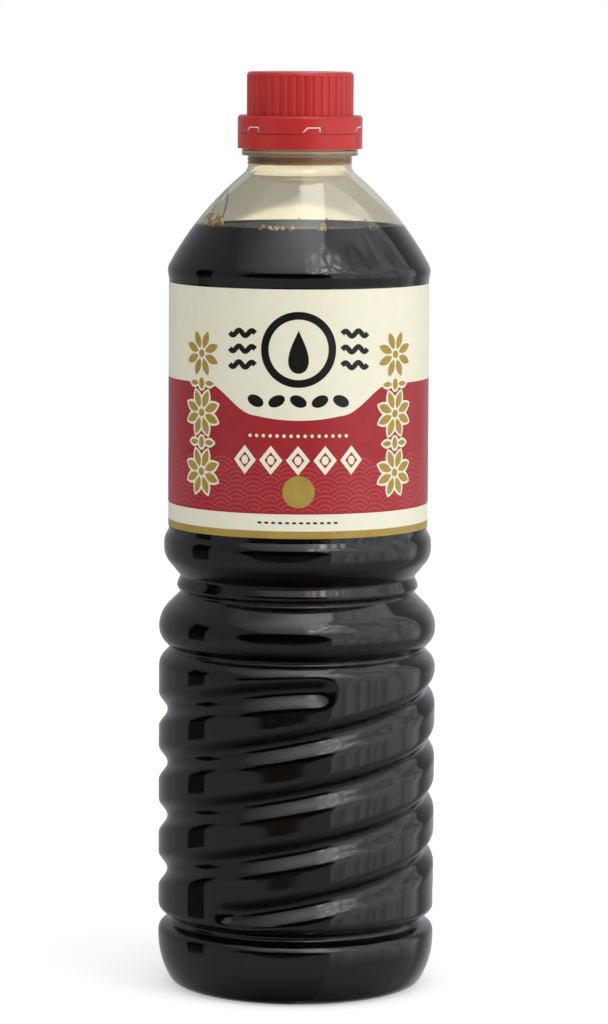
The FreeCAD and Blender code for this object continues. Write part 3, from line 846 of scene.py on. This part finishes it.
# %% Floor
# Painted board: matt and white, with no gloss to show the bottle twice.
FLOOR_LIFT = 0.42  # the floor's own glow, which takes the light that it gets up to white
FLOOR_R, FLOOR_DOWN = 6.0, 0.1 * MM  # radius in metres, and how far it lies under the bottle
floor_mat, tree, shader, place = material("matt white floor")
settings(shader, Roughness=0.9, Specular_IOR_Level=0.1)
speck = node(tree, "TexNoise", {"Vector": place, "Scale": 4.0, "Detail": 2.0})
tint = node(tree, "ValToRGB", {"Fac": speck}, stops=((0.3, "#FBFBFA"), (0.7, "#FFFFFE")))
settings(shader, Base_Color=tint)
ray = node(tree, "LightPath").node.outputs
seen = node(tree, "Math", (ray["Is Camera Ray"], ray["Is Transmission Ray"]), operation="MAXIMUM")
lifted = node(tree, "Math", (seen, FLOOR_LIFT), operation="MULTIPLY")
settings(shader, Emission_Strength=lifted, Emission_Color=colour("#FFFFFF"))
bm = bmesh.new()
bmesh.ops.create_circle(bm, cap_ends=True, segments=96, radius=FLOOR_R)
floor_mesh = bpy.data.meshes.new("floor")
bm.to_mesh(floor_mesh)
bm.free()
floor_mesh.materials.append(floor_mat)
floor = bpy.data.objects.new("floor", floor_mesh)
bpy.context.scene.collection.objects.link(floor)
floor.location.z = -FLOOR_DOWN
floor.visible_glossy = False
print("floor:", len(floor_mesh.polygons), "face,", 2 * FLOOR_R, "m wide")

# %% [markdown]
# ## World
# Glossy plastic shows whatever stands round it.  Here that is a tent of white cloth with a dark opening at
# the front, a dark gap at the left, lighter cloth at the right and a bright crumpled sheet above, all worked
# out from the direction alone.  Azimuth 0 is the front and 90 the right, elevation 90 is straight up, in
# degrees.  A fade is a Map Range node: where it starts, where it ends and, if they aren't 0 and 1, what it
# goes from and to.

# %% Directions
world = bpy.data.worlds.new("studio")
bpy.context.scene.world = world
world.use_nodes = True
tree = world.node_tree
direction = node(tree, "TexCoord", out="Generated")
toward_x = node(tree, "SeparateXYZ", {"Vector": direction}, out="X")
toward_y, toward_z = toward_x.node.outputs["Y"], toward_x.node.outputs["Z"]
forward = node(tree, "Math", (toward_y, -1.0), operation="MULTIPLY")
azimuth = node(tree, "Math", (toward_x, forward), operation="ARCTAN2")
azimuth = node(tree, "Math", (azimuth, ), operation="DEGREES")
elevation = node(tree, "Math", (toward_z, ), operation="ARCSINE")
elevation = node(tree, "Math", (elevation, ), operation="DEGREES")
folds = node(tree, "Mapping", {"Vector": direction, "Scale": (5.0, 5.0, 1.6), "Rotation": (0.5, 0.3, 0.0)})
folds = node(tree, "TexNoise", {"Vector": folds, "Scale": 1.0, "Detail": 5.0, "Distortion": 1.2})
SMOOTH = {"interpolation_type": "SMOOTHSTEP"}  # a fade that eases in and out
print("directions and folds:", len(tree.nodes), "nodes")

# %% Plain cloth
# It is dark towards the ground, and a little lighter behind the bottle.
cloth = node(tree, "MapRange", (elevation, -78.0, -22.0, 0.01, 0.31), **SMOOTH)
behind = node(tree, "MapRange", (azimuth, -125.0, -175.0, 0.0, 0.12), **SMOOTH)
cloth = node(tree, "Math", (cloth, behind), operation="ADD")
print("plain cloth:", len(tree.nodes), "nodes so far")

# %% Lighter cloth at the right
# It starts at a straight edge, which leans with the height, and hangs in folds.
edge = node(tree, "MapRange", (elevation, 5.0, 30.0, 29.0, 19.0), **SMOOTH)
past = node(tree, "Math", (azimuth, edge), operation="SUBTRACT")
past = node(tree, "MapRange", (past, -0.8, 0.8), **SMOOTH)
overhead = node(tree, "Math", (toward_z, -0.335, toward_x), operation="MULTIPLY_ADD")
overhead = node(tree, "MapRange", (overhead, -0.008, 0.008), **SMOOTH)
past = node(tree, "Math", (past, overhead), operation="MINIMUM")
before = node(tree, "Math", (1.0, past), operation="SUBTRACT")
right = node(tree, "MapRange", (azimuth, 124.0, 126.0, 1.0, 0.0), **SMOOTH)
right = node(tree, "Math", (right, past), operation="MULTIPLY")
fall = node(tree, "MapRange", (elevation, -22.0, -4.0, 0.12, 1.0), **SMOOTH)
right = node(tree, "Math", (right, fall), operation="MULTIPLY")
wavy = node(tree, "Math", (folds, 2.0, -0.3), operation="MULTIPLY_ADD")
right = node(tree, "Math", (right, wavy), operation="MULTIPLY")
glow = node(tree, "MapRange", (azimuth, 128.0, 160.0, 0.0, 0.35), **SMOOTH)
right = node(tree, "Math", (right, glow), operation="ADD")
tent = node(tree, "Math", (cloth, right), operation="ADD")
print("lighter cloth:", len(tree.nodes), "nodes so far")

# %% Roof
# It starts higher up at the left and is brighter at the right.
rise = node(tree, "Math", (azimuth, -0.4, -12.0), operation="MULTIPLY_ADD")
rise = node(tree, "Math", (rise, 0.0), operation="MAXIMUM")
above = node(tree, "Math", (elevation, rise), operation="SUBTRACT")
roof = node(tree, "MapRange", (above, 24.0, 33.0), **SMOOTH)
roof = node(tree, "Math", (roof, before), operation="MULTIPLY")
higher = node(tree, "MapRange", (elevation, 35.0, 75.0, 0.7, 2.0), **SMOOTH)
roof = node(tree, "Math", (roof, higher), operation="MULTIPLY")
brighter = node(tree, "MapRange", (azimuth, -75.0, 20.0, 0.15, 1.2))
roof = node(tree, "Math", (roof, brighter), operation="MULTIPLY")
tent = node(tree, "Math", (tent, roof), operation="ADD")
print("roof:", len(tree.nodes), "nodes so far")

# %% Crumpled sheet
# A bright sheet of foil above, right of the middle, whose creases sparkle; it fades out at its four edges.
crumple = node(tree, "TexVoronoi", {"Vector": direction, "Scale": 9.0}, out="Distance",
               feature="DISTANCE_TO_EDGE")
sparkle = node(tree, "Math", (crumple, 2.2), operation="MULTIPLY")
sparkle = node(tree, "Math", (sparkle, 1.5), operation="POWER")
sheet = node(tree, "Math", (sparkle, 8.0, folds), operation="MULTIPLY_ADD")
edges = ((azimuth, 4.0, 16.0), (azimuth, 60.0, 38.0), (elevation, 24.0, 36.0), (elevation, 66.0, 50.0))
for fade in edges:
    inside = node(tree, "MapRange", fade, **SMOOTH)
    sheet = node(tree, "Math", (sheet, inside), operation="MULTIPLY")
tent = node(tree, "Math", (tent, sheet), operation="ADD")
print("crumpled sheet:", len(tree.nodes), "nodes so far")

# %% Dark opening and dark gap
# The opening round the camera is an ellipse of azimuth and elevation, and the gap is a tall slit at the left.
OPEN_AT, OPEN_HALF = (-12.0, 8.5), (40.0, 20.0)  # its middle, and its half width and half height
GAP_DARK = 0.97  # share of the light that the gap takes away
far = 0.0
for where, middle, half in zip((azimuth, elevation), OPEN_AT, OPEN_HALF):
    away = node(tree, "Math", (where, 1 / half, -middle / half), operation="MULTIPLY_ADD")
    away = node(tree, "Math", (away, 2.0), operation="POWER")
    far = node(tree, "Math", (away, far), operation="ADD")
clear = node(tree, "MapRange", (far, 0.88, 1.12, 0.01, 1.0), **SMOOTH)
gap = 1.0
edges = ((azimuth, -103.0, -101.5), (azimuth, -82.0, -83.5),
         (elevation, 30.0, 22.0), (elevation, -17.0, -12.0))
for fade in edges:
    inside = node(tree, "MapRange", fade, **SMOOTH)
    gap = node(tree, "Math", (inside, gap), operation="MULTIPLY")
no_gap = node(tree, "Math", (gap, -GAP_DARK, 1.0), operation="MULTIPLY_ADD")
tent = node(tree, "Math", (tent, clear), operation="MULTIPLY")
tent = node(tree, "Math", (tent, no_gap), operation="MULTIPLY")
print("opening and gap:", len(tree.nodes), "nodes so far")

# %% What each ray sees
# The camera and clear walls see white, the gloss sees the tent, and everything else gets an even sky.
AMBIENT = 0.6  # strength of the even sky
ray = node(tree, "LightPath").node.outputs
seen = node(tree, "Math", (ray["Is Camera Ray"], ray["Is Transmission Ray"]), operation="MAXIMUM")
plain = node(tree, "Math", (seen, 1.0 - AMBIENT, AMBIENT), operation="MULTIPLY_ADD")
strength = node(tree, "Mix", {"Factor": ray["Is Glossy Ray"], "A": plain, "B": tent})
background = tree.nodes["Background"]
tone = node(tree, "Mix", {0: ray["Is Glossy Ray"], 6: colour("#FFFFFF"), 7: colour("#F6F9FF")},
            out=2, data_type="RGBA")  # sockets 6 and 7 are its two colours
tree.links.new(tone, background.inputs["Color"])
tree.links.new(strength, background.inputs["Strength"])
print("world:", len(tree.nodes), "nodes")

# %% [markdown]
# ## Lamps
# Two softboxes, which are lamps behind a white sheet: a large one at the right and a weaker one above.  They
# give the soft shadow and the light side, and the gloss leaves them out because the tent is its own.

# %% Lamps
def softbox(name, at, aim, width, height, radiance):
    """A large soft lamp that isn't itself seen in the gloss."""
    data = bpy.data.lights.new(name, "AREA")
    data.shape = "RECTANGLE"
    data.size, data.size_y = width, height
    data.energy = radiance * math.pi * width * height
    lamp = bpy.data.objects.new(name, data)
    bpy.context.scene.collection.objects.link(lamp)
    lamp.location = at
    lamp.rotation_euler = (Vector(aim) - Vector(at)).to_track_quat("-Z", "Y").to_euler()
    lamp.visible_glossy = False
    lamp.visible_camera = False
    lamp.visible_transmission = False
    return lamp


MIDDLE = (0, 0, 0.13)  # both lamps look at the middle of the bottle
softbox("lamp_right", (1.2, -0.8, 0.5), MIDDLE, 0.9, 1.2, 2.3)
softbox("lamp_above", (0.1, -0.55, 1.3), MIDDLE, 0.8, 0.8, 1.0)

# %% [markdown]
# ## Camera
# A long lens, a little higher than the cap and looking slightly down, keeps the bottle's sides nearly
# parallel.

# %% Camera
CAMERA_AT = (0.0018, -1.340, 0.2875)  # metres
TILT, ROLL = 6.3, 0.34  # degrees down, and round its own axis
FRAME_ROWS, FOCAL_ROWS, SENSOR = 1024, 4600, 36.0  # frame and focal length in rows, sensor in mm
camera_data = bpy.data.cameras.new("camera")
camera_data.sensor_width = SENSOR
camera_data.lens = FOCAL_ROWS / FRAME_ROWS * SENSOR
camera_data.clip_start, camera_data.clip_end = 0.05, 20.0
camera = bpy.data.objects.new("camera", camera_data)
bpy.context.scene.collection.objects.link(camera)
camera.location = CAMERA_AT
look = Euler((math.radians(90 - TILT), 0, 0)).to_matrix() @ Euler((0, 0, math.radians(ROLL))).to_matrix()
camera.rotation_euler = look.to_euler()
bpy.context.scene.camera = camera
bpy.context.scene.view_settings.view_transform = "Standard"
print("lens:", round(camera_data.lens, 1), "mm")
